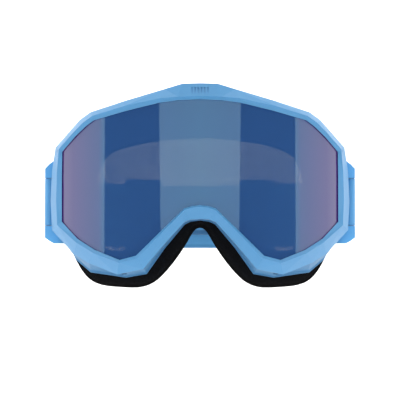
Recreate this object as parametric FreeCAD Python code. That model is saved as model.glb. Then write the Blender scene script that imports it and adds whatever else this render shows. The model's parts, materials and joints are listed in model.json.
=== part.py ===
"""Ski goggles: a faceted moulded front round a cylindrical double lens, a soft inner frame with a
padded face seal, two hinged strap arms, and an elastic strap with a slider on each side.

Millimetres. +Z is up, the wearer looks along -Y, and the wearer's left is +X. The origin is the
middle of the face seal: on the mirror plane, level with the strap's middle, at the depth where the
padding meets the brow.
"""

import FreeCAD, Part
import math
import os

from FreeCAD import Vector

# ---- Driving dimensions --------------------------------------------------------------------------

# Lens opening in the front, seen from the front
OPENING_HALF_WIDTH = 80.4
OPENING_TOP = 55.5
OPENING_DROP = 36.0

# Lens pair: both bent round upright axes, a foam gasket between them
LENS_WRAP = 36.0  # how far the opening's sides lie behind its middle
LENS_OVERLAP = 3.0  # hidden border all round
OUTER_LENS_THICKNESS = 1.4
INNER_LENS_THICKNESS = 1.0
LENS_AIR_GAP = 4.0
GASKET_WIDTH = 3.0
LENS_CLEARANCE = 0.25  # round the lens edge
LENS_FRONT_CLEARANCE = 0.05

# Faceted front
LIP_THICKNESS = 1.1
RIDGE_HEIGHT = 3.0  # how far the ridge stands in front of the lens
FRONT_WALL_DEPTH = 6.0  # straight side wall behind the widest edge
FRONT_DRAFT = 0.8
RIB_COUNT = 6
RIB_WIDTH = 0.9
RIB_PITCH = 1.8
RIB_HEIGHT = 3.4
RIB_DEPTH = 0.8
RIB_BOTTOM_ABOVE_OPENING = 3.6

# Inner frame and its face flange
SKIRT_DEPTH = 31.0  # lens front to flange rear, on the mirror plane
SKIRT_WALL = 2.2
SKIRT_STEP_IN = 1.2  # the skirt starts this far inside the front's edge
SEAT_INSET = 0.3
JOINT_GAP = 0.2
FLANGE_THICKNESS = 2.2
FLANGE_RIM = 0.6
FACE_WRAP = 31.5  # how far the flange's sides lie behind its middle

# Vents in the skirt, each filled with filter foam
TOP_VENT_COUNT = 5
TOP_VENT_WIDTH = 14.0
TOP_VENT_PITCH = 19.0
TOP_VENT_LENGTH = 8.0
TOP_VENT_FROM_FLANGE = 3.0
LOW_VENT_COUNT = 2
LOW_VENT_WIDTH = 9.0
LOW_VENT_PITCH = 12.0
LOW_VENT_LENGTH = 4.0
LOW_VENT_FROM_FLANGE = 7.5
LOW_VENT_OUT = 4.0  # middle of the inner vent, from the lobe of the flange
VENT_FOAM_RECESS = 0.5

# Face padding, three layers glued up from the flange to the face
PAD_BASE = 3.0
PAD_CORE = 11.0
PAD_LINER = 2.0
PAD_BASE_INSET = 1.0
FLANGE_INNER_SET_BACK = 1.5  # the flange's inner edge hides behind the padding

# Strap arms
HINGE_OUT = 0.9  # hinge axis outside the front's widest point
HINGE_BEHIND_FRONT = 3.5
PIN_RADIUS = 1.25
PIN_RUNNING_CLEARANCE = 0.05
BARREL_RADIUS = 2.9
BARREL_HEIGHT = 27.6
KNUCKLE_GAP = 0.3
LUG_TIP_SET_BACK = 0.2  # inside the barrel's outer face
LUG_REAR_MARGIN = 0.6  # behind the barrel
LUG_HEIGHT = 10.2
LUG_SLOPE_WIDTH = 5.2  # how much of a lug's end face slopes down outwards
LUG_DROP_ABOVE = 4.6
LUG_DROP_BELOW = 3.3
LUG_CROWN = 0.42  # share of the drop that the first half of the slope takes
ARM_THICKNESS = 3.2
ARM_LENGTH = 20.5  # hinge axis to strap bar
ARM_NECK = 1.4  # behind the lugs, before the plate flares
ARM_FLARE = 4.6
ARM_REAR_MARGIN = 0.5  # behind the strap bar
ARM_CHEEK = 2.9
ARM_CHEEK_DROP = 2.4  # how far the plate's ends slope down outwards
STRAP_BAR_RADIUS = 1.5
STRAP_SLOT = 5.2
BAR_SET_IN = 0.6  # towards the head from the hinge axis

# Elastic strap
STRAP_WIDTH = 40.0
STRAP_THICKNESS = 1.8
STRAP_END_CLEARANCE = 0.5  # webbing edge to each cheek
PLY_GAP = 0.3
BACK_RADIUS = 76.0
BACK_CENTRE_Y = 105.0
LOOP_LENGTH = 12.0
LOOP_GAP = 0.6
BAR_CLEARANCE = 0.1
TAIL_END_DEG = 7.5  # from the rear middle
GRIP_HEIGHT = 3.0
GRIP_THICKNESS = 0.5
GRIP_PITCH = 10.0
GRIP_COUNT = 3
GRIP_END_DEG = 62.0  # from the rear middle

# Sliders
SLIDER_DEG = 28.8  # from the rear middle
SLIDER_LENGTH = 22.0
SLIDER_WALL = 2.0
SLIDER_RIM = 2.7
SLIDER_SIDE_CLEARANCE = 0.6
SLIDER_CLEARANCE = 0.25
SLIDER_BAR = 3.4
SLIDER_WINDOWS = 2

# ---- Outlines, seen from the front ---------------------------------------------------------------
# Each list runs from the top middle round the wearer's left side to the middle of the nose, with
# one entry a corner.

# Lens opening: share of the half width, then share of the height above zero or of the drop below.
OPENING_SHAPE = [
    (0.0, 1.0), (0.16, 0.99), (0.295, 0.966), (0.53, 0.892), (0.762, 0.811), (0.822, 0.753),
    (0.9, 0.654), (0.998, 0.505), (1.0, 0.252), (1.0, 0.0), (1.0, -0.353), (0.883, -0.639),
    (0.751, -0.833), (0.573, -1.0), (0.456, -0.936), (0.284, -0.564), (0.111, -0.192),
    (0.056, -0.156), (0.0, -0.142),
]

# Front's widest edge, from the opening's corners.
BAND = [
    (0.0, 9.4), (-2.7, 9.7), (-3.4, 8.2), (1.1, 6.1), (2.2, 5.3), (3.8, 4.5), (4.2, 3.2),
    (4.5, 3.3), (6.5, 3.5), (7.3, 0.0), (6.4, -4.3), (2.2, -8.6), (4.6, -6.9), (1.6, -8.1),
    (-4.1, -7.5), (-2.2, -7.0), (-0.2, -7.6), (0.8, -7.6), (0.0, -7.7),
]

# Where the ridge runs, as a share of the way from the opening to the widest edge.
RIDGE_SHARE = [
    0.18, 0.19, 0.3, 0.46, 0.44, 0.45, 0.46, 0.46, 0.47, 0.47, 0.44, 0.27, 0.25, 0.22, 0.2, 0.18,
    0.15, 0.14, 0.14,
]

# How far the widest edge lies behind the lens surface.
EDGE_BEHIND_LENS = [
    1.2, 1.2, 2.4, 3.4, 4.4, 4.8, 5.0, 5.0, 5.0, 5.0, 5.0, 6.0, 6.0, 5.0, 4.4, 2.0, 1.2, 1.6,
    1.8,
]

# Flange edge, from the front's widest edge.
FLANGE_SHIFT = [
    (0.0, -6.9), (0.0, -6.9), (0.0, -5.5), (-1.0, -4.6), (-2.9, -5.0), (-3.5, -4.8), (-4.2, -3.9),
    (-6.1, -3.8), (-6.3, -3.0), (-6.7, 0.0), (-6.4, 1.0), (-0.2, -2.4), (-1.0, -4.9), (-4.8, -1.1),
    (-1.6, -2.0), (-0.4, -0.9), (0.1, -0.1), (0.0, 0.3), (0.0, 0.6),
]

# Padding's outer and inner edges, from the flange edge.
PAD_OUT = [
    (0.0, -1.5), (0.0, -1.5), (0.0, -1.4), (-0.6, -1.3), (-1.0, -1.4), (-1.2, -1.3), (-1.3, -1.2),
    (-1.5, -1.0), (-1.4, -0.5), (-1.2, 0.0), (-1.0, -0.2), (-0.4, -0.6), (1.0, -3.5), (4.1, -4.9),
    (-0.9, -5.9), (-3.5, -9.3), (-2.9, -6.7), (-2.1, -4.3), (0.0, -3.3),
]
PAD_IN = [
    (0.0, -21.2), (0.3, -21.2), (3.4, -21.1), (-4.6, -17.9), (-12.6, -14.8), (-13.2, -13.5),
    (-15.8, -11.3), (-19.3, -8.7), (-19.5, -3.4), (-19.5, 0.0), (-19.6, 4.0), (-14.6, 11.2),
    (-9.2, 13.3), (5.1, 16.0), (9.8, 14.6), (7.0, 12.4), (1.4, 11.0), (0.2, 11.0), (0.0, 10.7),
]

# ---- Worked out from the values above ------------------------------------------------------------

PAD_THICKNESS = PAD_BASE + PAD_CORE + PAD_LINER
LENS_FRONT_Y = -PAD_THICKNESS - SKIRT_DEPTH
LENS_RADIUS = (OPENING_HALF_WIDTH**2 + LENS_WRAP**2) / (2 * LENS_WRAP)
LENS_AXIS_Y = LENS_FRONT_Y + LENS_RADIUS
LENS_STACK = OUTER_LENS_THICKNESS + LENS_AIR_GAP + INNER_LENS_THICKNESS


def placed(shape):
    """The opening's corners in millimetres."""
    return [(u * OPENING_HALF_WIDTH, v * (OPENING_TOP if v > 0 else OPENING_DROP)) for u, v in shape]


def shifted(outline, moves):
    return [(x + dx, z + dz) for (x, z), (dx, dz) in zip(outline, moves)]


OPENING = placed(OPENING_SHAPE)
EDGE = shifted(OPENING, BAND)
FLANGE = shifted(EDGE, FLANGE_SHIFT)
PAD_OUTER = shifted(FLANGE, PAD_OUT)
PAD_INNER = shifted(FLANGE, PAD_IN)

FLANGE_HALF_WIDTH = max(x for x, _ in FLANGE)
FACE_RADIUS = (FLANGE_HALF_WIDTH**2 + FACE_WRAP**2) / (2 * FACE_WRAP)
FACE_AXIS_Y = FACE_RADIUS - PAD_THICKNESS
TALL = 4 * (OPENING_TOP + OPENING_DROP)  # taller than anything it cuts
DEEP = 4 * SKIRT_DEPTH + 4 * LENS_WRAP  # deeper than anything it cuts
ARC_TOLERANCE = 0.1  # how closely arcs follow a smooth outline


def lens_y(x):
    """Depth of the lens's front surface."""
    return LENS_AXIS_Y - math.sqrt(LENS_RADIUS**2 - x**2)


def flange_y(x):
    """Depth of the flange's rear surface."""
    return FACE_AXIS_Y - math.sqrt(FACE_RADIUS**2 - x**2)


def edge_y(x, i):
    """Depth of the front's widest edge near corner i."""
    return lens_y(x) + EDGE_BEHIND_LENS[i]


def wall_rear_y(x, i):
    """Depth of the front's rear face near corner i."""
    return edge_y(x, i) + FRONT_WALL_DEPTH


# ---- Shape helpers -------------------------------------------------------------------------------


def whole(half):
    """A closed loop from a half one: entries are (x, z) or (x, y, z)."""
    return half + [(-p[0], *p[1:]) for p in reversed(half[1:-1])]


def grown(half, distance):
    """The half outline with every side moved out by distance, and corners where those sides meet."""
    loop = whole(half)
    made = []
    for i in range(len(half)):
        (ax, az), (bx, bz), (cx, cz) = loop[i - 1], loop[i], loop[(i + 1) % len(loop)]
        before = Vector(az - bz, 0, bx - ax).normalize()
        after = Vector(bz - cz, 0, cx - bx).normalize()
        corner = (before + after) * (distance / (1 + before.dot(after)))
        made.append((bx + corner.x, bz + corner.z))
    return [(0.0, made[0][1]), *made[1:-1], (0.0, made[-1][1])]


def at_depth(half, depth):
    """(x, y, z) points of a half outline, where depth gives y from x and the corner's number."""
    return [(x, depth(x, i), z) for i, (x, z) in enumerate(half)]


def ring(*halves):
    """A closed ring of flat facets over half loops of (x, y, z), the last joined to the first.

    Each four-cornered span is split along its shorter diagonal, so neighbouring skins fold the
    same way.
    """
    loops = [[Vector(*p) for p in whole(h)] for h in halves]
    count = len(loops[0])
    faces = []
    for a, b in zip(loops, loops[1:] + loops[:1]):
        for i in range(count):
            j = (i + 1) % count
            triangles = [(a[i], a[j], b[j]), (a[i], b[j], b[i])]
            if (a[j] - b[i]).Length < (a[i] - b[j]).Length:
                triangles = [(a[i], a[j], b[i]), (a[j], b[j], b[i])]
            for t in triangles:
                if (t[1] - t[0]).cross(t[2] - t[0]).Length > 1e-6:
                    faces.append(Part.Face(Part.makePolygon([*t, t[0]])))
    shell = Part.Shell(faces)
    solid = Part.Solid(shell)
    return solid if solid.Volume > 0 else solid.reversed()


def straight_prism(half):
    """Everything inside a cornered outline, running along Y."""
    points = [Vector(x, -DEEP / 2, z) for x, z in whole(half)]
    return Part.Face(Part.makePolygon([*points, points[0]])).extrude(Vector(0, DEEP, 0))


def smooth_prism(half):
    """Everything inside a smooth outline of arcs through the points, running along Y."""
    curve = Part.BSplineCurve()
    curve.interpolate([Vector(x, -DEEP / 2, z) for x, z in whole(half)], PeriodicFlag=True)
    arcs = [a.toShape() for a in curve.toBiArcs(ARC_TOLERANCE)]
    return Part.Face(Part.Wire(arcs)).extrude(Vector(0, DEEP, 0))


def upright_cylinder(radius, axis_y):
    return Part.makeCylinder(radius, TALL, Vector(0, axis_y, -TALL / 2))


def shell_between(outer_radius, inner_radius, axis_y):
    return upright_cylinder(outer_radius, axis_y).cut(upright_cylinder(inner_radius, axis_y))


def mirror(shape):
    return shape.mirror(Vector(0, 0, 0), Vector(1, 0, 0))


def solids_of(shape):
    """The shape as a clean compound of its solids."""
    return Part.makeCompound([s for s in shape.Solids])


# ---- Front, lenses and gasket --------------------------------------------------------------------


def front():
    """The faceted front: a lip over the lens, a ridge, a wide outer band and a straight wall."""
    lip = at_depth(OPENING, lambda x, i: lens_y(x) - LIP_THICKNESS)
    ridge = [
        (x + share * dx, lens_y(x + share * dx) - RIDGE_HEIGHT, z + share * dz)
        for (x, z), (dx, dz), share in zip(OPENING, BAND, RIDGE_SHARE)
    ]
    edge = at_depth(EDGE, edge_y)
    rear = at_depth(grown(EDGE, -FRONT_DRAFT), wall_rear_y)
    rear_inner = at_depth(OPENING, wall_rear_y)
    body = ring(lip, ridge, edge, rear, rear_inner)
    pocket = straight_prism(grown(OPENING, LENS_OVERLAP + LENS_CLEARANCE))
    body = body.cut(pocket.common(upright_cylinder(LENS_RADIUS + LENS_FRONT_CLEARANCE, LENS_AXIS_Y)))
    return body.cut(brow_ribs(ridge[0], edge[0]))


def brow_ribs(ridge_point, edge_point):
    """Cutters for a row of upright grooves in the brow facet, all of one depth."""
    (_, y0, z0), (_, y1, z1) = ridge_point, edge_point
    slope = (y1 - y0) / (z1 - z0)
    low = OPENING_TOP + RIB_BOTTOM_ABOVE_OPENING
    high = low + RIB_HEIGHT
    y_low, y_high = y0 + slope * (low - z0), y0 + slope * (high - z0)
    clear = RIDGE_HEIGHT  # the cutters start this far in front
    cutters = []
    for k in range(RIB_COUNT):
        x = (k - (RIB_COUNT - 1) / 2) * RIB_PITCH - RIB_WIDTH / 2
        corners = [
            (y_low - clear, low), (y_high - clear, high),
            (y_high + RIB_DEPTH, high), (y_low + RIB_DEPTH, low),
        ]
        points = [Vector(x, y, z) for y, z in corners]
        outline = Part.Face(Part.makePolygon([*points, points[0]]))
        cutters.append(outline.extrude(Vector(RIB_WIDTH, 0, 0)))
    return Part.makeCompound(cutters)


def lens_sheet(outer_radius, thickness):
    sheet = shell_between(outer_radius, outer_radius - thickness, LENS_AXIS_Y)
    front_half = Part.makeBox(
        2 * LENS_RADIUS, LENS_RADIUS, TALL, Vector(-LENS_RADIUS, LENS_AXIS_Y - LENS_RADIUS, -TALL / 2)
    )
    return sheet.common(front_half)


def lens(outer_radius, thickness):
    return straight_prism(grown(OPENING, LENS_OVERLAP)).common(lens_sheet(outer_radius, thickness))


def gasket():
    """The foam rim that holds the two lenses apart."""
    outside = straight_prism(grown(OPENING, LENS_OVERLAP))
    rim = outside.cut(straight_prism(grown(OPENING, LENS_OVERLAP - GASKET_WIDTH)))
    return rim.common(lens_sheet(LENS_RADIUS - OUTER_LENS_THICKNESS, LENS_AIR_GAP))


# ---- Inner frame with its vents ------------------------------------------------------------------


def skirt_wall(trim):
    """The wall from the lens seat out to the flange, thinned by trim on both faces."""
    step = lambda x, i: wall_rear_y(x, i) + JOINT_GAP
    inside = lambda x, i: step(x, i) + SKIRT_WALL
    landing = lambda x, i: flange_y(x) - FLANGE_THICKNESS / 2
    seat_outer, seat_inner = grown(OPENING, LENS_OVERLAP - trim), grown(OPENING, trim - SEAT_INSET)
    outer_front = grown(EDGE, -SKIRT_STEP_IN - trim)
    inner_front = grown(EDGE, -SKIRT_STEP_IN - SKIRT_WALL + trim)
    outer_rear = grown(FLANGE, -FLANGE_RIM - trim)
    inner_rear = grown(FLANGE, -FLANGE_RIM - SKIRT_WALL + trim)
    wall = ring(
        at_depth(seat_outer, lambda x, i: lens_y(x)),
        at_depth(seat_outer, step),
        at_depth(outer_front, step),
        at_depth(outer_rear, landing),
        at_depth(inner_rear, landing),
        at_depth(inner_front, inside),
        at_depth(seat_inner, inside),
        at_depth(seat_inner, lambda x, i: lens_y(x)),
    )
    return wall.common(upright_cylinder(LENS_RADIUS - LENS_STACK, LENS_AXIS_Y))


def vent_windows():
    """Blocks that cut the vents: a row over the brow, and a pair under each eye."""
    top_y = flange_y(0) - FLANGE_THICKNESS - TOP_VENT_FROM_FLANGE
    brow, low = [], []
    for k in range(TOP_VENT_COUNT):
        x = (k - (TOP_VENT_COUNT - 1) / 2) * TOP_VENT_PITCH
        back = top_y + flange_y(x) - flange_y(0)
        corner = Vector(x - TOP_VENT_WIDTH / 2, back - TOP_VENT_LENGTH, OPENING_TOP / 2)
        brow.append(Part.makeBox(TOP_VENT_WIDTH, TOP_VENT_LENGTH, TALL, corner))
    lobe_x = min(FLANGE, key=lambda p: p[1])[0]
    for side in (1, -1):
        for k in range(LOW_VENT_COUNT):
            x = side * (lobe_x + LOW_VENT_OUT + k * LOW_VENT_PITCH)
            back = flange_y(x) - FLANGE_THICKNESS - LOW_VENT_FROM_FLANGE
            floor = -OPENING_DROP / 2 - TALL
            corner = Vector(x - LOW_VENT_WIDTH / 2, back - LOW_VENT_LENGTH, floor)
            low.append(Part.makeBox(LOW_VENT_WIDTH, LOW_VENT_LENGTH, TALL, corner))
    return brow, low


def face_flange():
    """The rim that the padding is glued to, following the face's curve."""
    plate = straight_prism(FLANGE).cut(smooth_prism(grown(PAD_INNER, FLANGE_INNER_SET_BACK)))
    return plate.common(face_layer(-FLANGE_THICKNESS, 0.0))


def face_layer(front_face, rear_face):
    """The curved sheet between two distances behind the flange's rear surface."""
    layer = shell_between(FACE_RADIUS - front_face, FACE_RADIUS - rear_face, FACE_AXIS_Y)
    side = 2 * FACE_RADIUS
    corner = Vector(-side / 2, FACE_AXIS_Y - side, -TALL / 2)
    return layer.common(Part.makeBox(side, side, TALL, corner))


# Hinge place, from the front's widest point
WIDEST = max(range(len(EDGE)), key=lambda i: EDGE[i][0])
HINGE_X = EDGE[WIDEST][0] + HINGE_OUT
HINGE_Y = wall_rear_y(EDGE[WIDEST][0], WIDEST) + HINGE_BEHIND_FRONT
LUG_START = BARREL_HEIGHT / 2 + KNUCKLE_GAP
LUG_FRONT_Y = HINGE_Y - HINGE_BEHIND_FRONT + JOINT_GAP
LUG_REAR_Y = HINGE_Y + BARREL_RADIUS + LUG_REAR_MARGIN
PIN_BORE_RADIUS = PIN_RADIUS + PIN_RUNNING_CLEARANCE


def lug(up, drop):
    """A knuckle block on the skirt's side: up is 1 above the arm's barrel and -1 below it.

    Its end face is lower by drop at its outer side.
    """
    root_x = FLANGE[WIDEST][0] - FLANGE_RIM - SKIRT_WALL / 2
    tip_x = HINGE_X + BARREL_RADIUS - LUG_TIP_SET_BACK
    shoulder_x = tip_x - LUG_SLOPE_WIDTH
    far, near = LUG_START + LUG_HEIGHT, LUG_START
    corners = [
        (root_x, near), (tip_x, near), (tip_x, far - drop),
        ((tip_x + shoulder_x) / 2, far - LUG_CROWN * drop), (shoulder_x, far), (root_x, far),
    ]
    points = [Vector(x, LUG_FRONT_Y, up * z) for x, z in corners]
    outline = Part.Face(Part.makePolygon([*points, points[0]]))
    return outline.extrude(Vector(0, LUG_REAR_Y - LUG_FRONT_Y, 0))


def inner_frame(wall, windows):
    """Skirt, flange and hinge lugs in one soft moulding, with the vents cut and the pin holes bored."""
    above, below = lug(1, LUG_DROP_ABOVE), lug(-1, LUG_DROP_BELOW)
    lugs = [above, below, mirror(above), mirror(below)]
    body = wall.cut(Part.makeCompound(windows)).fuse(face_flange().fuse(lugs))
    body = body.cut(front())
    for side in (1, -1):
        base = Vector(side * HINGE_X, HINGE_Y, -TALL / 2)
        body = body.cut(Part.makeCylinder(PIN_RADIUS, TALL, base))
    return body.removeSplitter()


# ---- Face padding --------------------------------------------------------------------------------


def pad_layer(start, thickness, inset):
    """One glued layer of the face seal."""
    outline = smooth_prism(grown(PAD_OUTER, -inset)).cut(smooth_prism(grown(PAD_INNER, inset)))
    return outline.common(face_layer(start, start + thickness))


# ---- Strap arms and hinge pins -------------------------------------------------------------------

BAR_X = HINGE_X - BAR_SET_IN
BAR_Y = HINGE_Y + ARM_LENGTH
SLOT_HALF = STRAP_WIDTH / 2 + STRAP_END_CLEARANCE


def strap_arm():
    """The wearer's left arm: a barrel on the hinge pin, a flared plate, and a bar for the strap."""
    outer_half = SLOT_HALF + ARM_CHEEK
    barrel_half = BARREL_HEIGHT / 2
    rear = BAR_Y + STRAP_BAR_RADIUS + ARM_REAR_MARGIN
    neck_y = LUG_REAR_Y + ARM_NECK
    flare_y = neck_y + ARM_FLARE
    profile = [
        (HINGE_Y, -barrel_half), (neck_y, -barrel_half), (flare_y, -outer_half), (rear, -outer_half),
        (rear, outer_half), (flare_y, outer_half), (neck_y, barrel_half), (HINGE_Y, barrel_half),
    ]
    points = [Vector(HINGE_X - ARM_THICKNESS / 2, y, z) for y, z in profile]
    plate = Part.Face(Part.makePolygon([*points, points[0]])).extrude(Vector(ARM_THICKNESS, 0, 0))
    slot_front = BAR_Y - STRAP_BAR_RADIUS - STRAP_SLOT
    corner = Vector(HINGE_X - 2 * ARM_THICKNESS, slot_front, -SLOT_HALF)
    slot = Part.makeBox(4 * ARM_THICKNESS, DEEP, 2 * SLOT_HALF, corner)
    inner_x, outer_x = HINGE_X - ARM_THICKNESS / 2, HINGE_X + ARM_THICKNESS / 2
    section = [
        (inner_x, -outer_half), (outer_x, ARM_CHEEK_DROP - outer_half),
        (outer_x, outer_half - ARM_CHEEK_DROP), (inner_x, outer_half),
    ]
    points = [Vector(x, 0, z) for x, z in section]
    envelope = Part.Face(Part.makePolygon([*points, points[0]])).extrude(Vector(0, DEEP, 0))
    bar_length = 2 * SLOT_HALF + ARM_CHEEK - ARM_CHEEK_DROP
    bar = Part.makeCylinder(STRAP_BAR_RADIUS, bar_length, Vector(BAR_X, BAR_Y, -bar_length / 2))
    barrel = Part.makeCylinder(BARREL_RADIUS, BARREL_HEIGHT, Vector(HINGE_X, HINGE_Y, -barrel_half))
    body = plate.common(envelope).cut(slot).fuse([bar, barrel]).removeSplitter()
    return body.cut(Part.makeCylinder(PIN_BORE_RADIUS, TALL, Vector(HINGE_X, HINGE_Y, -TALL / 2)))


def hinge_pin():
    """A plain steel pin, pressed through both lugs; the arm's barrel turns on it."""
    half = LUG_START + LUG_HEIGHT - LUG_DROP_ABOVE
    return Part.makeCylinder(PIN_RADIUS, 2 * half, Vector(HINGE_X, HINGE_Y, -half))


# ---- Strap ---------------------------------------------------------------------------------------
# Each side runs straight from the arm's bar to where it meets the round back, so both directions
# follow from the bar.

TO_BAR = math.hypot(BAR_X, BACK_CENTRE_Y - BAR_Y)
MEET_ANGLE = math.acos(BACK_RADIUS / TO_BAR) - math.atan2(BACK_CENTRE_Y - BAR_Y, BAR_X)
ALONG = Vector(-math.sin(MEET_ANGLE), math.cos(MEET_ANGLE), 0)
OUTWARD = Vector(math.cos(MEET_ANGLE), math.sin(MEET_ANGLE), 0)
RUN = math.sqrt(TO_BAR**2 - BACK_RADIUS**2)
PLY_OFFSET = (STRAP_THICKNESS + PLY_GAP) / 2
UPRIGHT = Vector(0, 0, STRAP_WIDTH)


def beside_run(distance, offset, z):
    """A point beside the straight run on the wearer's left."""
    return Vector(BAR_X, BAR_Y, z) + ALONG * distance + OUTWARD * offset


def on_back(radius, angle, z):
    """A point at an angle round the back, in radians from +X."""
    return Vector(radius * math.cos(angle), BACK_CENTRE_Y + radius * math.sin(angle), z)


def arc(radius, first, last, z):
    points = [on_back(radius, first + share * (last - first), z) for share in (0, 0.5, 1)]
    return Part.Arc(*points).toShape()


def line(a, b):
    return Part.LineSegment(a, b).toShape()


def strap_band():
    """The inner ply, from one arm's loop round the back to the other's."""
    z = -STRAP_WIDTH / 2
    inner, outer = -PLY_OFFSET - STRAP_THICKNESS / 2, -PLY_OFFSET + STRAP_THICKNESS / 2
    start = LOOP_LENGTH + LOOP_GAP
    flip = lambda p: Vector(-p.x, p.y, p.z)
    a, b = beside_run(start, inner, z), beside_run(RUN, inner, z)
    c, d = beside_run(start, outer, z), beside_run(RUN, outer, z)
    far = math.pi - MEET_ANGLE
    edges = [
        line(a, b), arc(BACK_RADIUS + inner, MEET_ANGLE, far, z), line(flip(b), flip(a)),
        line(flip(a), flip(c)), line(flip(c), flip(d)),
        arc(BACK_RADIUS + outer, far, MEET_ANGLE, z), line(d, c), line(c, a),
    ]
    return Part.Face(Part.Wire(edges)).extrude(UPRIGHT)


def strap_tail():
    """The outer ply on the wearer's left, from the loop through the slider to its sewn end."""
    z = -STRAP_WIDTH / 2
    inner, outer = PLY_OFFSET - STRAP_THICKNESS / 2, PLY_OFFSET + STRAP_THICKNESS / 2
    start = LOOP_LENGTH + LOOP_GAP
    end = math.pi / 2 - math.radians(TAIL_END_DEG)
    a, b = beside_run(start, inner, z), beside_run(RUN, inner, z)
    c, d = beside_run(start, outer, z), beside_run(RUN, outer, z)
    edges = [
        line(a, b), arc(BACK_RADIUS + inner, MEET_ANGLE, end, z),
        line(on_back(BACK_RADIUS + inner, end, z), on_back(BACK_RADIUS + outer, end, z)),
        arc(BACK_RADIUS + outer, end, MEET_ANGLE, z), line(d, c), line(c, a),
    ]
    return Part.Face(Part.Wire(edges)).extrude(UPRIGHT)


def strap_loop():
    """The fold of webbing round the wearer's left arm's bar, closing up to two plies."""
    z = -STRAP_WIDTH / 2
    small = STRAP_BAR_RADIUS + BAR_CLEARANCE
    large = small + STRAP_THICKNESS
    end_inner, end_outer = PLY_GAP / 2, PLY_OFFSET + STRAP_THICKNESS / 2
    at = lambda distance, offset: beside_run(distance, offset, z)
    round_bar = lambda r: Part.Arc(at(0, r), at(-abs(r), 0), at(0, -r)).toShape()
    edges = [
        round_bar(large),
        line(at(0, -large), at(LOOP_LENGTH, -end_outer)),
        line(at(LOOP_LENGTH, -end_outer), at(LOOP_LENGTH, -end_inner)),
        line(at(LOOP_LENGTH, -end_inner), at(0, -small)),
        round_bar(-small),
        line(at(0, small), at(LOOP_LENGTH, end_inner)),
        line(at(LOOP_LENGTH, end_inner), at(LOOP_LENGTH, end_outer)),
        line(at(LOOP_LENGTH, end_outer), at(0, large)),
    ]
    return Part.Face(Part.Wire(edges)).extrude(UPRIGHT)


def back_sector(inner_radius, outer_radius, first_deg, last_deg, z_low, z_high):
    """A piece of a round shell about the back's axis, between two angles from the rear middle."""
    first, last = math.pi / 2 - math.radians(last_deg), math.pi / 2 - math.radians(first_deg)
    edges = [
        arc(inner_radius, first, last, z_low),
        line(on_back(inner_radius, last, z_low), on_back(outer_radius, last, z_low)),
        arc(outer_radius, last, first, z_low),
        line(on_back(outer_radius, first, z_low), on_back(inner_radius, first, z_low)),
    ]
    return Part.Face(Part.Wire(edges)).extrude(Vector(0, 0, z_high - z_low))


BAND_INNER_RADIUS = BACK_RADIUS - PLY_OFFSET - STRAP_THICKNESS / 2
TAIL_OUTER_RADIUS = BACK_RADIUS + PLY_OFFSET + STRAP_THICKNESS / 2


def grip_strips():
    """Silicone lines printed on the inside of the strap, a solid each."""
    strips = []
    for k in range(GRIP_COUNT):
        middle = (k - (GRIP_COUNT - 1) / 2) * GRIP_PITCH
        strips.append(
            back_sector(
                BAND_INNER_RADIUS - GRIP_THICKNESS, BAND_INNER_RADIUS, -GRIP_END_DEG, GRIP_END_DEG,
                middle - GRIP_HEIGHT / 2, middle + GRIP_HEIGHT / 2,
            )
        )
    return Part.makeCompound(strips)


def slider():
    """The wearer's left slider: a flat sleeve round both plies, with windows between its bars."""
    half_angle = math.degrees(SLIDER_LENGTH / 2 / BACK_RADIUS)
    first, last = SLIDER_DEG - half_angle, SLIDER_DEG + half_angle
    channel_in = BAND_INNER_RADIUS - GRIP_THICKNESS - SLIDER_CLEARANCE
    channel_out = TAIL_OUTER_RADIUS + SLIDER_CLEARANCE
    channel_half = STRAP_WIDTH / 2 + SLIDER_SIDE_CLEARANCE
    outer_half = channel_half + SLIDER_RIM
    inside, outside = channel_in - SLIDER_WALL, channel_out + SLIDER_WALL
    body = back_sector(inside, outside, first, last, -outer_half, outer_half)
    bar_deg = math.degrees(SLIDER_BAR / BACK_RADIUS)
    window_deg = (2 * half_angle - (SLIDER_WINDOWS + 1) * bar_deg) / SLIDER_WINDOWS
    window_half = channel_half - SLIDER_RIM
    past = (first - bar_deg, last + bar_deg)
    cuts = [back_sector(channel_in, channel_out, *past, -channel_half, channel_half)]
    for k in range(SLIDER_WINDOWS):
        start = first + bar_deg + k * (window_deg + bar_deg)
        cuts.append(
            back_sector(
                inside - SLIDER_WALL, outside + SLIDER_WALL, start, start + window_deg,
                -window_half, window_half,
            )
        )
    for cutter in cuts:
        body = body.cut(cutter)
    return body


# ---- Build and write -----------------------------------------------------------------------------


def build():
    brow, low = vent_windows()
    wall = skirt_wall(0.0)
    thin_wall = skirt_wall(VENT_FOAM_RECESS)
    left_low = [w for w in low if w.BoundBox.Center.x > 0]
    right_low = [w for w in low if w.BoundBox.Center.x < 0]
    parts = {
        "front_frame": front(),
        "outer_lens": lens(LENS_RADIUS, OUTER_LENS_THICKNESS),
        "lens_gasket": gasket(),
        "inner_lens": lens(LENS_RADIUS - OUTER_LENS_THICKNESS - LENS_AIR_GAP, INNER_LENS_THICKNESS),
        "inner_frame": inner_frame(wall, brow + low),
        "brow_vent_foam": thin_wall.common(Part.makeCompound(brow)),
        "cheek_vent_foam_left": thin_wall.common(Part.makeCompound(left_low)),
        "cheek_vent_foam_right": thin_wall.common(Part.makeCompound(right_low)),
        "face_pad_base": pad_layer(0.0, PAD_BASE, PAD_BASE_INSET),
        "face_pad_core": pad_layer(PAD_BASE, PAD_CORE, 0.0),
        "face_pad_liner": pad_layer(PAD_BASE + PAD_CORE, PAD_LINER, 0.0),
        "strap_band": strap_band(),
        "strap_grip_strips": grip_strips(),
    }
    paired = {
        "strap_arm": strap_arm(),
        "hinge_pin": hinge_pin(),
        "strap_loop": strap_loop(),
        "strap_tail": strap_tail(),
        "strap_slider": slider(),
    }
    for name, shape in paired.items():
        parts[name + "_left"] = shape
        parts[name + "_right"] = mirror(shape)
    return parts


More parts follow.
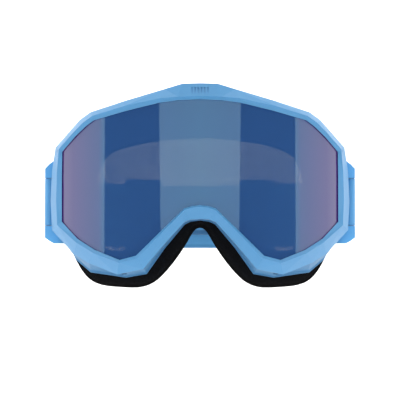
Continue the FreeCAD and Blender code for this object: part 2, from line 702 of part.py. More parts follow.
os.makedirs("parts", exist_ok=True)
for name, shape in build().items():
    solids_of(shape).exportStep(f"parts/{name}.step")
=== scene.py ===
import json
import math

import bmesh
import bpy
from mathutils import Matrix, Vector


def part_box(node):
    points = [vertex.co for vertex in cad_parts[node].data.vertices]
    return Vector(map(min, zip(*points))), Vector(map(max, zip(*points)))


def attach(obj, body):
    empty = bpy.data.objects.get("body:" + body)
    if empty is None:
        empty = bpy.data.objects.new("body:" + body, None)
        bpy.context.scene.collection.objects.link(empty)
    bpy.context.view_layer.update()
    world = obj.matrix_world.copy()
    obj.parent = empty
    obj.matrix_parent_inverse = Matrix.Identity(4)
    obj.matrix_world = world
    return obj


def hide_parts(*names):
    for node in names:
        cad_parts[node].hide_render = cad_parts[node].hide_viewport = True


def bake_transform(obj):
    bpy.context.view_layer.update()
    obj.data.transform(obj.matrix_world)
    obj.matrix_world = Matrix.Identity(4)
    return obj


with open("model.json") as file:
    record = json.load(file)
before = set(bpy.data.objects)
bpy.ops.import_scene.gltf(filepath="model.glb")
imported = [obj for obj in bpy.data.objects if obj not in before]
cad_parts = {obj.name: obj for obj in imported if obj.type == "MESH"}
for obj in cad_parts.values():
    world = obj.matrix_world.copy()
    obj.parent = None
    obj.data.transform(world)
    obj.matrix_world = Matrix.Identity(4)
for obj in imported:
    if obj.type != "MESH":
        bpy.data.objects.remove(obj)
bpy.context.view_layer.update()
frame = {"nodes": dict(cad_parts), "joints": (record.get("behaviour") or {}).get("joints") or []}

nodes = frame["nodes"]
joints = {joint["name"]: joint for joint in frame["joints"]}
scene = bpy.context.scene


# ---- Front ---------------------------------------------------------------------------------------
# The front is one hard moulding in matte sky-blue nylon, with flat facets from the lip over the
# lens to its widest edge. The mould leaves a fine spark-eroded grain, with a few duller scuffs.

FRONT_BLUE = (0.068, 0.272, 0.53)
FRONT_BLUE_LIGHT = (0.083, 0.302, 0.58)
FRONT_EDGE_ROUND = 0.00025
WELD_WITHIN = 0.00001
SHARP_FROM = math.radians(12.0)


class Wires:
    """Makes a material's nodes. add() gives back a Socket, which takes part in sums as a number does."""

    def __init__(self, name):
        self.material = bpy.data.materials.new(name)
        self.material.use_nodes = True
        self.tree = self.material.node_tree
        self.tree.nodes.clear()
        self.output = self.tree.nodes.new("ShaderNodeOutputMaterial")

    def add(self, kind, settings=None, inputs=None, out=0):
        """Adds a node: its settings first, then its inputs by name or number, as values or links."""
        node = self.tree.nodes.new("ShaderNode" + kind)
        for key, value in (settings or {}).items():
            if key != "stops":
                setattr(node, key, value)
                continue
            elements = node.color_ramp.elements
            while len(elements) < len(value):
                elements.new(1.0)
            for element, (position, color) in zip(elements, value):
                element.position = position
                element.color = (*color, 1.0)
        for key, value in (inputs or {}).items():
            if isinstance(value, Socket):
                self.tree.links.new(value.socket, node.inputs[key])
            else:
                node.inputs[key].default_value = value
        return Socket(self, node.outputs[out])

    def finish(self, shader):
        self.tree.links.new(shader.socket, self.output.inputs["Surface"])
        return self.material


class Socket:
    """An output socket, with the arithmetic that adds Math nodes."""

    def __init__(self, wires, socket):
        self.wires = wires
        self.socket = socket

    def beside(self, out):
        """Another output of the same node."""
        return Socket(self.wires, self.socket.node.outputs[out])

    def math(self, operation, *others, clamp=False):
        settings = {"operation": operation, "use_clamp": clamp}
        return self.wires.add("Math", settings, dict(enumerate((self, *others))))

    def __add__(self, other):
        return self.math("ADD", other)

    def __sub__(self, other):
        return self.math("SUBTRACT", other)

    def __mul__(self, other):
        return self.math("MULTIPLY", other)

    def __truediv__(self, other):
        return self.math("DIVIDE", other)

    def __rsub__(self, other):
        return self.wires.add("Math", {"operation": "SUBTRACT"}, {0: other, 1: self})

    def __rtruediv__(self, other):
        return self.wires.add("Math", {"operation": "DIVIDE"}, {0: other, 1: self})

    __radd__ = __add__
    __rmul__ = __mul__


def noise(wires, scale, detail=3.0, stretch=None):
    """Soft noise on the object, with its scale in cells a metre."""
    at = wires.add("TexCoord", out=3)
    if stretch:
        at = wires.add("Mapping", inputs={"Vector": at, "Scale": stretch})
    inputs = {"Vector": at, "Scale": scale, "Detail": detail, "Roughness": 0.6}
    return wires.add("TexNoise", inputs=inputs)


def blend_colors(wires, share, first, second):
    """Colour from first to second as share goes from 0 to 1."""
    inputs = {0: share}
    for key, color in ((6, first), (7, second)):
        inputs[key] = color if isinstance(color, Socket) else (*color, 1.0)
    return wires.add("Mix", {"data_type": "RGBA"}, inputs, out=2)


def raised(wires, height, depth, over=None):
    """A normal for a surface that stands out by height times depth, in metres."""
    inputs = {"Height": height, "Distance": depth, "Strength": 1.0}
    if over:
        inputs["Normal"] = over
    return wires.add("Bump", inputs=inputs)


def moulded(name, dark, light, roughness=0.42, grain=0.00004):
    """Matte moulded plastic: slow drift in its colour, a fine grain, and scuffs drawn out along Y."""
    wires = Wires(name)
    drift = noise(wires, 35.0, 4.0)
    fine = noise(wires, 2600.0, 2.0)
    scuffs = noise(wires, 420.0, 3.0, (1.0, 0.25, 1.0)).math("GREATER_THAN", 0.7)
    paint = {
        "Base Color": blend_colors(wires, drift, dark, light),
        "Roughness": fine * 0.14 + (roughness - 0.07) + scuffs * 0.06,
        "Normal": raised(wires, fine, grain),
    }
    return wires.finish(wires.add("BsdfPrincipled", inputs=paint))


def finish_node(name, material, edge_round=0.0):
    """Gives a CAD node its material, and rounds its sharp edges."""
    node = nodes[name]
    node.data.materials.clear()
    node.data.materials.append(material)
    if edge_round:
        weld = node.modifiers.new("weld", "WELD")
        weld.merge_threshold = WELD_WITHIN
        bevel = node.modifiers.new("edge_round", "BEVEL")
        bevel.width = edge_round
        bevel.segments = 2
        bevel.limit_method = "ANGLE"
        bevel.angle_limit = SHARP_FROM
        bevel.harden_normals = True


front_plastic = moulded("front_plastic", FRONT_BLUE, FRONT_BLUE_LIGHT)
finish_node("front_frame", front_plastic, FRONT_EDGE_ROUND)


# ---- Lenses and gasket ---------------------------------------------------------------------------
# The outer lens is injection-moulded polycarbonate with a blue mirror coating that turns violet
# towards its sides. A clear cellulose pane is bonded behind it on a black foam gasket, which closes
# in the air between the two.

LENS_BLUE = (0.029, 0.128, 0.44)
# Painted reflection: the lighter blue-grey over the middle of the lens stands for the front box's
# reflection.
LENS_BLUE_GREY_PAINTED_REFLECTION = (0.03, 0.155, 0.465)
LENS_INDIGO = (0.10, 0.095, 0.385)
LENS_VIOLET = (0.19, 0.092, 0.37)
LENS_PINK = (0.275, 0.145, 0.41)
LENS_RIM = (0.16, 0.05, 0.42)
LENS_TINT = (0.34, 0.325, 0.285)  # of the light that passes
LENS_COATED_SHARE = 0.5
LENS_SHEEN = (0.57, 0.9, 1.0)
MIRROR_IOR = 2.1
PANE_COLOR = (0.75, 0.82, 0.86)
PANE_TINT = (0.93, 0.95, 0.95)
GASKET_BLACK = (0.006, 0.006, 0.007)
GASKET_GREY = (0.02, 0.02, 0.022)
GASKET_VOXEL = 0.0004

lens_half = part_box("outer_lens")[1].x


def mirror_coating():
    """The mirror: deep blue over the eyes, a lighter blue-grey in the middle as painted reflection of
    the front box, violet at the sides, glossy, and a little see-through.
    """
    wires = Wires("mirror_lens")
    at = wires.add("TexCoord", out=3)
    x = wires.add("SeparateXYZ", inputs={0: at})
    out = x.math("ABSOLUTE") / lens_half
    cloud = noise(wires, 14.0, 2.0) * 0.02
    stops = [
        (0.0, LENS_BLUE_GREY_PAINTED_REFLECTION), (0.3, LENS_BLUE), (0.66, LENS_BLUE), (0.7, LENS_INDIGO),
        (0.88, LENS_VIOLET), (0.945, LENS_PINK), (0.958, LENS_RIM),
    ]
    tint = wires.add("ValToRGB", {"stops": stops}, {0: out + cloud - 0.01})
    paint = {
        "Base Color": tint,
        "Roughness": noise(wires, 60.0, 2.0) * 0.03 + 0.02,
        "IOR": MIRROR_IOR,
        "Specular Tint": (*LENS_SHEEN, 1.0),
    }
    mirror = wires.add("BsdfPrincipled", inputs=paint)
    clear = wires.add("BsdfTransparent", inputs={"Color": (*LENS_TINT, 1.0)})
    share = noise(wires, 25.0, 2.0) * 0.01 + LENS_COATED_SHARE
    return wires.finish(wires.add("MixShader", inputs={0: share, 1: clear, 2: mirror}))


def clear_pane():
    """The inner pane: clear, with a faint anti-fog film."""
    wires = Wires("clear_pane")
    paint = {"Base Color": (*PANE_COLOR, 1.0), "Roughness": noise(wires, 90.0, 2.0) * 0.05 + 0.05}
    film = wires.add("BsdfPrincipled", inputs=paint)
    clear = wires.add("BsdfTransparent", inputs={"Color": (*PANE_TINT, 1.0)})
    share = noise(wires, 18.0, 2.0) * 0.03 + 0.02
    return wires.finish(wires.add("MixShader", inputs={0: share, 1: clear, 2: film}))


def closed_foam(name, dark, light, cell=1500.0, depth=0.00008):
    """Foam whose skin shows small cells."""
    wires = Wires(name)
    at = wires.add("TexCoord", out=3)
    cells = wires.add("TexVoronoi", inputs={"Vector": at, "Scale": cell})
    drift = noise(wires, 70.0, 3.0)
    paint = {
        "Base Color": blend_colors(wires, cells * 0.7 + drift * 0.5, dark, light),
        "Roughness": drift * 0.1 + 0.85,
        "Specular IOR Level": 0.0,
        "Normal": raised(wires, cells, depth),
    }
    return wires.finish(wires.add("BsdfPrincipled", inputs=paint))


def smooth_copy(name, source, voxel, relax, swell=0.0):
    """A new piece from a CAD node's shape: remeshed evenly, smoothed relax times, then swelled."""
    mesh = nodes[source].data.copy()
    mesh.name = name
    shape = bmesh.new()
    shape.from_mesh(mesh)
    bmesh.ops.remove_doubles(shape, verts=shape.verts, dist=WELD_WITHIN)
    shape.to_mesh(mesh)
    shape.free()
    piece = bpy.data.objects.new(name, mesh)
    scene.collection.objects.link(piece)
    remesh = piece.modifiers.new("remesh", "REMESH")
    remesh.mode = "VOXEL"
    remesh.voxel_size = voxel
    bpy.context.view_layer.update()
    made = bpy.data.meshes.new_from_object(piece.evaluated_get(bpy.context.evaluated_depsgraph_get()))
    piece.modifiers.clear()
    piece.data = made
    bpy.data.meshes.remove(mesh)
    made.materials.clear()
    shape = bmesh.new()
    shape.from_mesh(made)
    for _ in range(relax):
        bmesh.ops.smooth_vert(
            shape, verts=shape.verts, factor=0.5, use_axis_x=True, use_axis_y=True, use_axis_z=True
        )
    shape.normal_update()
    for vert in shape.verts:
        vert.co += vert.normal * swell
    for face in shape.faces:
        face.smooth = True
    shape.to_mesh(made)
    shape.free()
    return piece


finish_node("outer_lens", mirror_coating())
finish_node("inner_lens", clear_pane())
gasket = smooth_copy("gasket_ring", "lens_gasket", GASKET_VOXEL, 3)
gasket.data.materials.append(closed_foam("gasket_foam", GASKET_BLACK, GASKET_GREY))
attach(gasket, "goggles")
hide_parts("lens_gasket")


# ---- Inner frame and vent foam -------------------------------------------------------------------
# The inner frame is a softer blue thermoplastic: it holds the lens, carries the hinges, and flexes
# to the face. Open filter foam is glued into its vents over the brow and under each cheek.

# Painted shade and light: the skirt's colour is darkened as shade under the cheeks, and the lugs' colour
# is lightened as light on the wings.
SKIRT_BLUE_PAINTED_SHADE = (0.05, 0.195, 0.385)
LUG_BLUE_PAINTED_LIGHT = (0.105, 0.42, 0.8)
LUG_LIGHT_FROM = 0.078  # distance from the middle at which the painted shade of the skirt turns into the painted light of the lugs
LUG_LIGHT_FULL = 0.084
INNER_EDGE_ROUND = 0.00025
VENT_BLACK = (0.008, 0.008, 0.009)
VENT_GREY = (0.05, 0.05, 0.055)
VENT_CELL = 900.0  # cells a metre
VENT_CELL_DEPTH = 0.0004
VENT_VOXEL = 0.0004
VENT_SWELL = 0.0001


def soft_moulding():
    """Satin soft plastic: darker and greyer in the skirt as painted shade under the cheeks, and lighter
    at the lugs as painted light.
    """
    wires = Wires("soft_frame")
    at = wires.add("TexCoord", out=3)
    x = wires.add("SeparateXYZ", inputs={0: at})
    out = x.math("ABSOLUTE")
    # Painted light and shade by distance from the middle: the lugs lighter, the skirt darker.
    lug_painted_light = (out - LUG_LIGHT_FROM).math("DIVIDE", LUG_LIGHT_FULL - LUG_LIGHT_FROM, clamp=True)
    drift = noise(wires, 35.0, 4.0)
    fine = noise(wires, 2200.0, 2.0)
    paint = {
        "Base Color": blend_colors(wires, lug_painted_light * 0.85 + drift * 0.15, SKIRT_BLUE_PAINTED_SHADE, LUG_BLUE_PAINTED_LIGHT),
        "Roughness": fine * 0.14 + 0.43,
        "Normal": raised(wires, fine, 0.00006),
    }
    return wires.finish(wires.add("BsdfPrincipled", inputs=paint))


finish_node("inner_frame", soft_moulding(), INNER_EDGE_ROUND)

vent_foam = closed_foam("vent_foam", VENT_BLACK, VENT_GREY, VENT_CELL, VENT_CELL_DEPTH)
for vent in ("brow_vent_foam", "cheek_vent_foam_left", "cheek_vent_foam_right"):
    filter_piece = smooth_copy(vent.replace("foam", "filter"), vent, VENT_VOXEL, 2, VENT_SWELL)
    filter_piece.data.materials.append(vent_foam)
    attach(filter_piece, "goggles")
    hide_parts(vent)


# ---- Face padding --------------------------------------------------------------------------------
# Three layers of die-cut foam are glued up from the flange: a firm open-cell base, a thick soft
# core, and a thin liner of brushed fleece whose nap lies against the face. The die leaves the edges
# slightly rounded.

BASE_BLACK, BASE_GREY = (0.005, 0.005, 0.0055), (0.011, 0.011, 0.012)
CORE_BLACK, CORE_GREY = (0.004, 0.004, 0.0042), (0.009, 0.0092, 0.0095)
NAP_BLACK, NAP_GREY = (0.004, 0.004, 0.0042), (0.0105, 0.0108, 0.0115)
NAP_DEPTH = 0.0004
FIBRE_DEPTH = 0.00012
PAD_SWELL = 0.0002


def fleece():
    """Short brushed nap: soft tufts over fine fibres."""
    wires = Wires("fleece_liner")
    tufts = noise(wires, 900.0, 4.0)
    fibres = noise(wires, 3800.0, 3.0, (1.0, 0.5, 1.6))
    patches = noise(wires, 45.0, 3.0)
    paint = {
        "Base Color": blend_colors(wires, tufts * 0.6 + patches * 0.5, NAP_BLACK, NAP_GREY),
        "Roughness": tufts * 0.1 + 0.88,
        "Specular IOR Level": 0.0,
        "Sheen Weight": 0.02,
        "Sheen Roughness": 0.45,
        "Normal": raised(wires, fibres, FIBRE_DEPTH, raised(wires, tufts, NAP_DEPTH)),
    }
    return wires.finish(wires.add("BsdfPrincipled", inputs=paint))


base_foam = closed_foam("base_foam", BASE_BLACK, BASE_GREY, 1100.0)
core_foam = closed_foam("core_foam", CORE_BLACK, CORE_GREY, 1700.0, 0.00012)
pad_layers = [
    # piece, CAD node, slot, voxel, smoothing passes, swell, material
    ("padding_base", "face_pad_base", "pad_foam", 0.0008, 6, 0.0, base_foam),
    ("padding_core", "face_pad_core", "pad_foam", 0.0009, 10, PAD_SWELL, core_foam),
    ("padding_liner", "face_pad_liner", "pad_liner", 0.0006, 8, PAD_SWELL, fleece()),
]
for name, source, slot, voxel, relax, swell, material in pad_layers:
    layer = smooth_copy(name, source, voxel, relax, swell)
    layer.data.materials.append(material)
    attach(layer, "goggles")
    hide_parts(source)


# ---- Strap arms and hinge pins -------------------------------------------------------------------
# Each arm is moulded in nylon and turns on a drawn steel pin, pressed through the frame's two lugs. Its
# blue is painted paler than the front's, as painted light on the lit wings. The strap loops round its
# bar.

# Painted light: the arm's blue is lighter than the front's to stand for the light that falls on the
# wings.
ARM_BLUE_PAINTED_LIGHT = (0.078, 0.32, 0.62)
ARM_BLUE_PAINTED_LIGHT_DRIFT = (0.09, 0.345, 0.67)
ARM_EDGE_ROUND = 0.0004
STEEL_DARK = (0.42, 0.43, 0.44)
STEEL_LIGHT = (0.68, 0.69, 0.7)
PIN_EDGE_ROUND = 0.0002

arm_plastic = moulded("arm_plastic", ARM_BLUE_PAINTED_LIGHT, ARM_BLUE_PAINTED_LIGHT_DRIFT)


def drawn_steel():
    """Bright drawn wire with fine lines along it."""
    wires = Wires("drawn_steel")
    lines = noise(wires, 900.0, 2.0, (1.0, 1.0, 0.05))
    paint = {
        "Base Color": blend_colors(wires, lines, STEEL_DARK, STEEL_LIGHT),
        "Metallic": 1.0,
        "Roughness": lines * 0.15 + 0.22,
        "Normal": raised(wires, lines, 0.00002),
    }
    return wires.finish(wires.add("BsdfPrincipled", inputs=paint))


pin_steel = drawn_steel()
for side in ("left", "right"):
    finish_node(f"strap_arm_{side}", arm_plastic, ARM_EDGE_ROUND)
    finish_node(f"hinge_pin_{side}", pin_steel, PIN_EDGE_ROUND)


# ---- Strap ---------------------------------------------------------------------------------------
# The strap is 40 mm woven elastic, one length for each side: from the middle of the back it runs
# forward, folds round the arm's bar, and comes back outside itself through the slider. Its end is
# tacked down with two rows of thick thread.

STRAP_THICKNESS = 0.0018
PLY_SPACING = 0.0021
BAR_RADIUS = 0.0015
BAR_MARGIN = 0.0005  # of the arm behind its bar
BAR_GAP = 0.0001
FOLD_LENGTH = 0.012  # in which the two plies close up behind the bar
TAIL_END = math.radians(7.5)  # from the middle of the back
SELVEDGE = 0.0005
SELVEDGE_THICKNESS = 0.45  # of the webbing's
STEP_ALONG = 0.0025
STEPS_ACROSS = 8
EASE_STEPS = 5
FOLD_STEPS = 12
CORD_PITCH = 0.0008
PICK_PITCH = 0.0009
SELVEDGE_BAND = 0.0022
WEB_DEPTH = 0.00018
WEB_BLUE = (0.058, 0.25, 0.53)
WEB_BLUE_LIGHT = (0.14, 0.45, 0.79)
SELVEDGE_BLUE = (0.06, 0.23, 0.46)

strap_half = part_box("strap_band")[1].z
back_centre = Vector(joints["strap_adjust_left"]["pos_m"])
band_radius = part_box("strap_band")[1].y - back_centre.y - STRAP_THICKNESS / 2
bar_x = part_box("strap_loop_left")[1].x - STRAP_THICKNESS - BAR_RADIUS - BAR_GAP
bar_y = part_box("strap_arm_left")[1].y - BAR_RADIUS - BAR_MARGIN
bar = Vector((bar_x, bar_y, 0.0))
middle_radius = band_radius + PLY_SPACING / 2
to_bar = (bar - back_centre).length
meet = math.acos(middle_radius / to_bar) - math.atan2(back_centre.y - bar.y, bar.x)
along = Vector((-math.sin(meet), math.cos(meet), 0.0))
outward = Vector((math.cos(meet), math.sin(meet), 0.0))
run = math.sqrt(to_bar**2 - middle_radius**2)


def webbing_path():
    """The left length, as (middle of the webbing, its outward side, distance along it)."""
    fold_offset = BAR_RADIUS + BAR_GAP + STRAP_THICKNESS / 2
    path = []
    turn_steps = int(band_radius * (math.pi / 2 - meet) / STEP_ALONG)
    for k in range(turn_steps + 1):
        angle = math.pi / 2 + (meet - math.pi / 2) * k / turn_steps
        out = Vector((math.cos(angle), math.sin(angle), 0.0))
        path.append((back_centre + out * band_radius, out))
    run_steps = int((run - FOLD_LENGTH) / STEP_ALONG)
    for k in range(1, run_steps + 1):
        left = run + (FOLD_LENGTH - run) * k / run_steps
        path.append((bar + along * left - outward * PLY_SPACING / 2, outward))
    for k in range(1, EASE_STEPS):
        share = k / EASE_STEPS
        ease = share * share * (3 - 2 * share)
        offset = PLY_SPACING / 2 + (fold_offset - PLY_SPACING / 2) * ease
        path.append((bar + along * FOLD_LENGTH * (1 - share) - outward * offset, outward))
    for k in range(FOLD_STEPS + 1):
        angle = math.pi + math.pi * k / FOLD_STEPS
        out = outward * math.cos(angle) + along * math.sin(angle)
        path.append((bar + out * fold_offset, -out))
    for k in range(1, EASE_STEPS):
        share = k / EASE_STEPS
        ease = share * share * (3 - 2 * share)
        offset = fold_offset + (PLY_SPACING / 2 - fold_offset) * ease
        path.append((bar + along * FOLD_LENGTH * share + outward * offset, -outward))
    for k in range(run_steps + 1):
        left = FOLD_LENGTH + (run - FOLD_LENGTH) * k / run_steps
        path.append((bar + along * left + outward * PLY_SPACING / 2, -outward))
    tail_radius = band_radius + PLY_SPACING
    tail_steps = int(tail_radius * (math.pi / 2 - TAIL_END - meet) / STEP_ALONG)
    for k in range(1, tail_steps + 1):
        angle = meet + (math.pi / 2 - TAIL_END - meet) * k / tail_steps
        out = Vector((math.cos(angle), math.sin(angle), 0.0))
        path.append((back_centre + out * tail_radius, -out))
    distances = [0.0]
    for (before, _), (after, _) in zip(path, path[1:]):
        distances.append(distances[-1] + (after - before).length)
    return [(*point, distance) for point, distance in zip(path, distances)]


def webbing_section():
    """The corners of the webbing's section as (height, side), with thin rounded selvedges."""
    side, edge = STRAP_THICKNESS / 2, strap_half
    thin = side * SELVEDGE_THICKNESS
    heights = [-1 + 2 * k / STEPS_ACROSS for k in range(STEPS_ACROSS + 1)]
    outer = [(h * (edge - SELVEDGE), side) for h in heights]
    inner = [(z, -s) for z, s in reversed(outer)]
    return [*outer, (edge, thin), (edge, -thin), *inner, (-edge, -thin), (-edge, thin)]


def into_piece(name, shape):
    """A new object from a bmesh, at the origin."""
    mesh = bpy.data.meshes.new(name)
    shape.to_mesh(mesh)
    shape.free()
    piece = bpy.data.objects.new(name, mesh)
    scene.collection.objects.link(piece)
    return piece


def of_type(items, kind):
    """The vertices or edges among what a bmesh operator gives back."""
    return [item for item in items if isinstance(item, kind)]


def webbing_length(name, flip):
    """The section drawn along the path, with a UV map in metres: along the webbing, then up it."""
    shape = bmesh.new()
    uv = shape.loops.layers.uv.new("weave")
    up_by = shape.verts.layers.float.new("up_by")
    out_by = shape.verts.layers.float.new("out_by")
    along_by = shape.verts.layers.float.new("along_by")
    ring = []
    for z, side in webbing_section():
        vert = shape.verts.new()
        vert[up_by], vert[out_by] = z, side
        ring.append(vert)
    rim = [shape.edges.new(pair) for pair in zip(ring, ring[1:] + ring[:1])]
    for centre, out, distance in webbing_path():
        if distance:
            made = bmesh.ops.extrude_edge_only(shape, edges=rim)["geom"]
            ring = of_type(made, bmesh.types.BMVert)
            rim = [edge for edge in of_type(made, bmesh.types.BMEdge) if edge.is_boundary]
        for vert in ring:
            vert.co = centre + out * vert[out_by] + Vector((0.0, 0.0, vert[up_by]))
            vert.co.x *= flip
            vert[along_by] = distance
    for face in shape.faces:
        face.smooth = True
        for loop in face.loops:
            loop[uv].uv = (loop.vert[along_by] * flip, loop.vert[up_by])
    ends = [edge for edge in shape.edges if edge.is_boundary]
    for edge in ends:
        edge.smooth = False
    bmesh.ops.holes_fill(shape, edges=ends)
    bmesh.ops.recalc_face_normals(shape, faces=shape.faces)
    return into_piece(name, shape)


def woven_elastic():
    """A broad rib weave: cords along the strap, crossed by fine picks, with darker selvedges."""
    wires = Wires("woven_elastic")
    length = wires.add("SeparateXYZ", inputs={0: wires.add("UVMap", {"uv_map": "weave"})})
    up = length.beside(1)
    cords = (up * (math.pi / CORD_PITCH)).math("SINE").math("ABSOLUTE")
    row = (up * (math.pi / CORD_PITCH)).math("FLOOR")
    picks = (length * (2 * math.pi / PICK_PITCH) + row * math.pi).math("SINE") * 0.5 + 0.5
    weave = cords * 0.65 + cords * picks * 0.35
    edge = up.math("ABSOLUTE").math("GREATER_THAN", strap_half - SELVEDGE_BAND)
    drift = noise(wires, 60.0, 3.0)
    base = blend_colors(wires, weave * 0.8 + drift * 0.25, WEB_BLUE, WEB_BLUE_LIGHT)
    paint = {
        "Base Color": blend_colors(wires, edge * 0.5, base, SELVEDGE_BLUE),
        "Roughness": weave * -0.1 + 0.85,
        "Specular IOR Level": 0.3,
        "Sheen Weight": 0.15,
        "Sheen Roughness": 0.5,
        "Normal": raised(wires, weave, WEB_DEPTH),
    }
    return wires.finish(wires.add("BsdfPrincipled", inputs=paint))


webbing = woven_elastic()
for side in ("left", "right"):
    flip = Vector((-1.0 if side == "right" else 1.0, 1.0, 1.0))
    strap = webbing_length(f"strap_webbing_{side}", flip.x)
    strap.data.materials.append(webbing)
    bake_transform(strap)
    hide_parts("strap_band", f"strap_loop_{side}", f"strap_tail_{side}")

# The tacks: two rows of slanted stitches across each tail.
STITCH_LENGTH = 0.0019
STITCH_WIDTH = 0.0006
STITCH_HEIGHT = 0.0005
STITCH_LEAN = 0.45  # radians, by turns one way and the other
STITCH_PITCH = 0.0024
STITCHES_A_ROW = 15
TACK_ROWS = (math.radians(9.0), math.radians(10.6))
THREAD_BLUE = (0.16, 0.42, 0.7)
THREAD_PALE = (0.3, 0.6, 0.86)


def thread():
    """Twisted polyester thread, a little paler than the webbing."""
    wires = Wires("tack_thread")
    twist = noise(wires, 1500.0, 2.0, (1.0, 1.0, 2.5))
    paint = {
        "Base Color": blend_colors(wires, twist, THREAD_BLUE, THREAD_PALE),
        "Roughness": twist * 0.2 + 0.55,
        "Normal": raised(wires, twist, 0.0001),
    }
    return wires.finish(wires.add("BsdfPrincipled", inputs=paint))


tacks = bmesh.new()
stitch_size = Matrix.Diagonal((STITCH_WIDTH, STITCH_HEIGHT, STITCH_LENGTH, 1.0))
for turn in (*TACK_ROWS, *(-row for row in TACK_ROWS)):
    round_back = Matrix.Translation(back_centre) @ Matrix.Rotation(-turn, 4, "Z")
    for k in range(STITCHES_A_ROW):
        height = (k - (STITCHES_A_ROW - 1) / 2) * STITCH_PITCH
        centre = Vector((0.0, band_radius + PLY_SPACING + STRAP_THICKNESS / 2, height))
        lean = Matrix.Rotation(STITCH_LEAN if k % 2 else -STITCH_LEAN, 4, "Y")
        place = round_back @ Matrix.Translation(centre) @ lean @ stitch_size
        bmesh.ops.create_icosphere(tacks, subdivisions=2, radius=0.5, matrix=place)
for face in tacks.faces:
    face.smooth = True
tack_stitches = into_piece("tack_stitches", tacks)
tack_stitches.data.materials.append(thread())
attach(tack_stitches, "goggles")


# ---- Silicone grip -------------------------------------------------------------------------------
# Three lines of silicone are screen-printed on the inside of the strap, so that it holds on a
# helmet. They stand out as low rounded beads, slightly glossy and darker than the webbing.

GRIP_WIDTH = 0.003
GRIP_PITCH = 0.01
GRIP_PROUD = 0.0005
GRIP_END = math.radians(62.0)  # from the middle of the back
GRIP_STEPS = 70
GRIP_SECTION = [  # (share of its height, share of its width)
    (0.0, -0.5), (0.6, -0.49), (0.9, -0.38), (1.0, -0.18),
    (1.0, 0.18), (0.9, 0.38), (0.6, 0.49), (0.0, 0.5),
]
GRIP_BLUE = (0.03, 0.13, 0.29)
GRIP_BLUE_LIGHT = (0.045, 0.175, 0.36)


def silicone():
    """Printed silicone: smooth, with a slight unevenness."""
    wires = Wires("grip_silicone")
    drift = noise(wires, 120.0, 2.0)
    paint = {
        "Base Color": blend_colors(wires, drift, GRIP_BLUE, GRIP_BLUE_LIGHT),
        "Roughness": drift * 0.15 + 0.25,
        "Normal": raised(wires, noise(wires, 800.0, 2.0), 0.00003),
    }
    return wires.finish(wires.add("BsdfPrincipled", inputs=paint))


def grip_line(shape, height):
    """One bead, open at both ends: a low rounded section, turned round the back of the strap."""
    start = Vector((math.sin(GRIP_END), math.cos(GRIP_END), 0.0))
    against = band_radius - STRAP_THICKNESS / 2
    corners = []
    for proud, across in GRIP_SECTION:
        place = back_centre + start * (against - GRIP_PROUD * proud)
        corners.append(shape.verts.new(place + Vector((0.0, 0.0, height + GRIP_WIDTH * across))))
    rim = [shape.edges.new(pair) for pair in zip(corners, corners[1:] + corners[:1])]
    bmesh.ops.spin(
        shape, geom=corners + rim, cent=back_centre, axis=(0.0, 0.0, 1.0), angle=2 * GRIP_END,
        steps=GRIP_STEPS, use_merge=False, use_duplicate=False,
    )


beads = bmesh.new()
for row in (-1, 0, 1):
    grip_line(beads, row * GRIP_PITCH)
bmesh.ops.holes_fill(beads, edges=[edge for edge in beads.edges if edge.is_boundary])
bmesh.ops.recalc_face_normals(beads, faces=beads.faces)
for face in beads.faces:
    face.smooth = len(face.verts) == 4
grip = into_piece("grip_lines", beads)
grip.data.materials.append(silicone())
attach(grip, "goggles")
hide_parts("strap_grip_strips")


# ---- Sliders -------------------------------------------------------------------------------------
# Each slider is a flat sleeve, moulded in a deeper blue nylon. Friction on the two plies between its
# bars holds it in place.

SLIDER_BLUE = (0.032, 0.15, 0.34)
SLIDER_BLUE_LIGHT = (0.046, 0.19, 0.42)
SLIDER_EDGE_ROUND = 0.0004

slider_plastic = moulded("slider_plastic", SLIDER_BLUE, SLIDER_BLUE_LIGHT, grain=0.00003)
for side in ("left", "right"):
    finish_node(f"strap_slider_{side}", slider_plastic, SLIDER_EDGE_ROUND)


# ---- Studio --------------------------------------------------------------------------------------
# The goggles stand clear of a pale sweep, seen from the front and a little below. Tall soft boxes
# stand before them and at both sides, and the lens shows those as upright bands.

CAMERA_DISTANCE = 1.775
CAMERA_BELOW = math.radians(3.3)
CAMERA_LENS = 272.7  # mm, on a film 36 mm wide
CAMERA_SHIFT = 0.0025
BOX_GLOW = 2.0  # radiance, W/m2/sr
FRONT_GLOW = 1.75
WALL_GLOW = 9.0
WALL_TARGET = (0.0, 3.6, 0.3)
AIR_COLOR = (0.96, 0.98, 1.0)
AIR_GLOW = 0.3
SWEEP_DROP = 0.42
SWEEP_FRONT = 6.0
SWEEP_DEPTH = 2.2
SWEEP_RADIUS = 1.2
SWEEP_TOP = 5.0
SWEEP_HALF_WIDTH = 6.0
SWEEP_DARK = (0.93, 0.93, 0.93)
SWEEP_LIGHT = (0.96, 0.96, 0.96)


def place_camera():
    """A long lens, a little below the goggles and looking up at their middle."""
    lens = bpy.data.cameras.new("camera")
    lens.sensor_width = 36.0
    lens.lens = CAMERA_LENS
    lens.shift_y = CAMERA_SHIFT
    lens.clip_end = 50.0
    camera = bpy.data.objects.new("camera", lens)
    away = Vector((0.0, -math.cos(CAMERA_BELOW), -math.sin(CAMERA_BELOW)))
    camera.location = away * CAMERA_DISTANCE
    camera.rotation_euler = (math.pi / 2 + CAMERA_BELOW, 0.0, 0.0)
    scene.collection.objects.link(camera)
    scene.camera = camera


def soft_box(name, centre, size, glow=BOX_GLOW, target=(0.0, 0.0, 0.0)):
    """A rectangular soft box that faces the goggles, or another target."""
    light = bpy.data.lights.new(name, "AREA")
    light.shape = "RECTANGLE"
    light.size, light.size_y = size
    light.energy = glow * math.pi * size[0] * size[1]
    lamp = bpy.data.objects.new(name, light)
    lamp.location = centre
    lamp.rotation_mode = "QUATERNION"
    lamp.rotation_quaternion = (Vector(centre) - Vector(target)).to_track_quat("Z", "Y")
    scene.collection.objects.link(lamp)


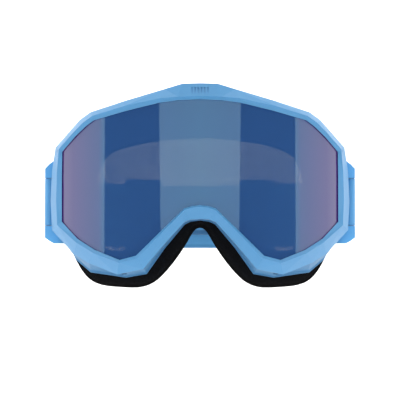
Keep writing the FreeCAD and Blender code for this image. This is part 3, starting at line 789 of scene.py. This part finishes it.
def pale_sweep():
    """A floor that curves up into a back wall, in matte white paint."""
    shape = bmesh.new()
    sides = (-SWEEP_HALF_WIDTH, SWEEP_HALF_WIDTH)
    ends = [shape.verts.new((x, -SWEEP_FRONT, -SWEEP_DROP)) for x in sides]
    floor = bmesh.ops.extrude_edge_only(shape, edges=[shape.edges.new(ends)])["geom"]
    verts, rim = of_type(floor, bmesh.types.BMVert), of_type(floor, bmesh.types.BMEdge)
    bmesh.ops.translate(shape, verts=verts, vec=(0.0, SWEEP_FRONT + SWEEP_DEPTH, 0.0))
    cove = bmesh.ops.spin(
        shape, geom=[*rim, *verts], cent=(0.0, SWEEP_DEPTH, SWEEP_RADIUS - SWEEP_DROP),
        axis=(1.0, 0.0, 0.0), angle=math.pi / 2, steps=24,
    )["geom_last"]
    wall = bmesh.ops.extrude_edge_only(shape, edges=of_type(cove, bmesh.types.BMEdge))["geom"]
    bmesh.ops.translate(shape, verts=of_type(wall, bmesh.types.BMVert), vec=(0.0, 0.0, SWEEP_TOP))
    for face in shape.faces:
        face.smooth = True
    sweep = into_piece("pale_sweep", shape)
    wires = Wires("pale_paint")
    shade = blend_colors(wires, noise(wires, 3.0, 2.0), SWEEP_DARK, SWEEP_LIGHT)
    paint = wires.add("BsdfPrincipled", inputs={"Base Color": shade, "Roughness": 0.9})
    sweep.data.materials.append(wires.finish(paint))


place_camera()
pale_sweep()
soft_box("front_box", (0.0, -2.5, 0.15), (2.4, 1.8), FRONT_GLOW)
for side in (1.0, -1.0):
    soft_box("side_box", (side * 1.62, -0.3, 0.1), (1.0, 1.8))
    soft_box("wall_light", (side * 1.9, 1.3, 1.5), (1.6, 1.6), WALL_GLOW, WALL_TARGET)
soft_box("top_box", (0.0, -0.2, 1.7), (2.2, 1.6))

world = bpy.data.worlds.new("studio_air")
world.use_nodes = True
world.node_tree.nodes["Background"].inputs["Color"].default_value = (*AIR_COLOR, 1.0)
world.node_tree.nodes["Background"].inputs["Strength"].default_value = AIR_GLOW
scene.world = world
scene.view_settings.view_transform = "Standard"
